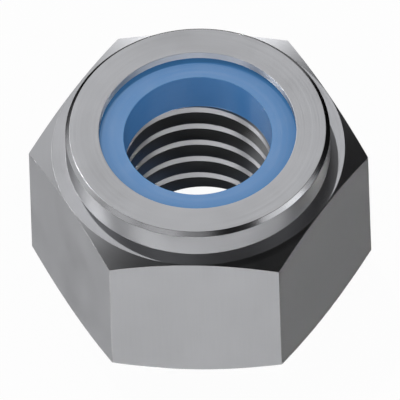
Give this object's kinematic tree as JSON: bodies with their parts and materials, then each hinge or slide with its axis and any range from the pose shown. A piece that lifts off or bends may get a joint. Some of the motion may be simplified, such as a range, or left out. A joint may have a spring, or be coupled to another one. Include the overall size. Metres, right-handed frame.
{
  "type": "nylon insert lock nut",
  "caption": "Tall hexagon lock nut with a round collar whose rolled rim holds a blue nylon ring over a coarse right-hand thread.",
  "frame": {"origin": "centre of the bearing face, on the thread axis", "axes": "+Z along the thread axis, from the bearing face towards the collar; +X through a corner of the hexagon; one pair of flats faces -Y and +Y"},
  "size_m": [0.0194, 0.0168, 0.0114],
  "materials": {
    "steel": "satin zinc-plated steel, turned on the collar and forged on the flats",
    "nylon": "moulded blue nylon, low sheen"
  },
  "bodies": {
    "root": {"nut_body": "steel", "nylon_insert": "nylon"}
  },
  "joints": []
}
